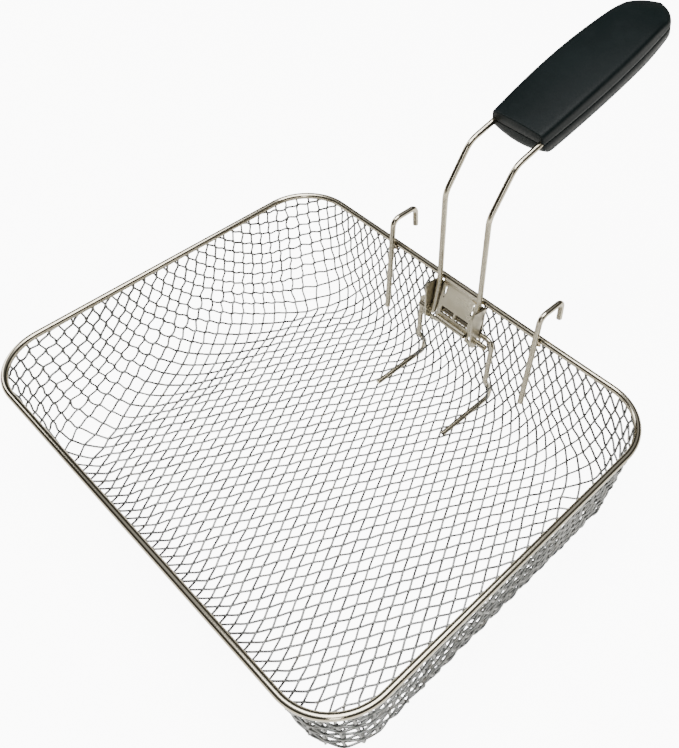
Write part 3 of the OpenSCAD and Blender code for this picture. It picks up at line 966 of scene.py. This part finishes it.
# %% [markdown]
# ## Floor, light and camera
# Where the camera looks straight at them the floor and the sky are plain white, so the basket
# stands in front of a bright, even background. The wires mirror something else: a dimmer floor,
# three soft lamps, and a sky with a broad dark band. The band draws the dark lines on the wires.

# %% Floor
FLOOR_COLOUR, FLOOR_GLOW, WHITE = (0.92, 0.91, 0.88, 1), (0.09, 0.088, 0.082, 1), (1, 1, 1, 1)
GLOW_STRENGTH, FLOOR_HALF = 8.5, 3.0


def pale_floor():
    g = Graph("pale floor")
    seen = g.node("ShaderNodeLightPath")
    g.set(Base_Color=FLOOR_COLOUR, Roughness=0.9, Metallic=0.0,
        Emission_Color=g.blend(seen, FLOOR_GLOW, WHITE), Emission_Strength=GLOW_STRENGTH)
    mesh = bpy.data.meshes.new("floor")
    r = FLOOR_HALF
    mesh.from_pydata([(-r, -r, 0), (r, -r, 0), (r, r, 0), (-r, r, 0)], [], [(0, 1, 2, 3)])
    mesh.materials.append(g.material)
    floor = add_object("floor", mesh)
    return floor


print("floor:", pale_floor().name)

# %% Lamps and sky
def lamp(name, where, target, size, watts):
    data = bpy.data.lights.new(name, "AREA")
    data.shape, data.size, data.size_y, data.energy = "RECTANGLE", size[0], size[1], watts
    made = bpy.data.objects.new(name, data)
    bpy.context.scene.collection.objects.link(made)
    made.location = where
    made.rotation_euler = (Vector(target) - Vector(where)).to_track_quat("-Z", "Y").to_euler()


lamp("overhead", (0.1, 0.0, 1.7), (0, 0.02, 0), (1.3, 1.3), 66)
lamp("window", (-1.3, -0.2, 0.75), (0, 0, 0.05), (0.4, 0.9), 10)
lamp("fill", (1.1, -1.1, 0.8), (0, 0, 0.05), (0.3, 0.9), 6)


SKY = ((0.0, (0.85, 0.84, 0.80)), (0.12, (0.50, 0.48, 0.42)), (0.28, (0.07, 0.065, 0.055)),
    (0.66, (0.05, 0.05, 0.045)), (0.82, (0.70, 0.71, 0.72)), (1.0, (1.0, 1.0, 1.0)))
SEEN_SKY = (9, 9, 9, 1)


def studio_sky():
    """A sky in bands of height for what the wires mirror, plain white to the camera."""
    world = bpy.data.worlds.new("studio")
    bpy.context.scene.world = world
    world.use_nodes = True
    tree = world.node_tree
    way = tree.nodes.new("ShaderNodeTexCoord").outputs["Generated"]
    split, ramp = tree.nodes.new("ShaderNodeSeparateXYZ"), tree.nodes.new("ShaderNodeValToRGB")
    tree.links.new(way, split.inputs["Vector"])
    tree.links.new(split.outputs["Z"], ramp.inputs["Fac"])
    parts = ramp.color_ramp.elements
    while len(parts) < len(SKY):
        parts.new(0.5)
    for part, (at, colour) in zip(parts, SKY):
        part.position, part.color = at, (*colour, 1)
    back = tree.nodes["Background"]
    seen, mix = tree.nodes.new("ShaderNodeLightPath"), tree.nodes.new("ShaderNodeMix")
    mix.data_type = "RGBA"
    mix.inputs[7].default_value = SEEN_SKY
    tree.links.new(seen.outputs["Is Camera Ray"], mix.inputs[0])
    tree.links.new(ramp.outputs["Color"], mix.inputs[6])
    tree.links.new(mix.outputs[2], back.inputs["Color"])
    back.inputs["Strength"].default_value = 1.0


studio_sky()
print("lamps placed")

# %% Camera
VIEW_WIDE, VIEW_HIGH, FOCAL, SENSOR = 679, 748, 820.23, 36.0
AXIS_X, AXIS_Y = 443.336, 384.759
EYE = Vector((207.043, -138.720, 366.749))
RIGHT = Vector((0.718106, 0.695523, 0.023882))
DOWN = Vector((0.545058, -0.540757, -0.640698))
AHEAD = Vector((-0.432706, 0.473106, -0.767422))
lens = bpy.data.cameras.new("camera")
lens.sensor_width, lens.lens = SENSOR, FOCAL / VIEW_HIGH * SENSOR
lens.shift_x = (VIEW_WIDE / 2 - AXIS_X) / VIEW_HIGH
lens.shift_y = (AXIS_Y - VIEW_HIGH / 2) / VIEW_HIGH
lens.clip_start, lens.clip_end = 0.01, 20
camera = bpy.data.objects.new("camera", lens)
bpy.context.scene.collection.objects.link(camera)
turn = Matrix((RIGHT, -DOWN, -AHEAD)).transposed().to_4x4()
camera.matrix_world = Matrix.Translation(EYE * MM) @ turn
bpy.context.scene.camera = camera
print("camera at", [round(v, 3) for v in camera.location])

# %% Finish: bring the scene up to date
bpy.context.view_layer.update()
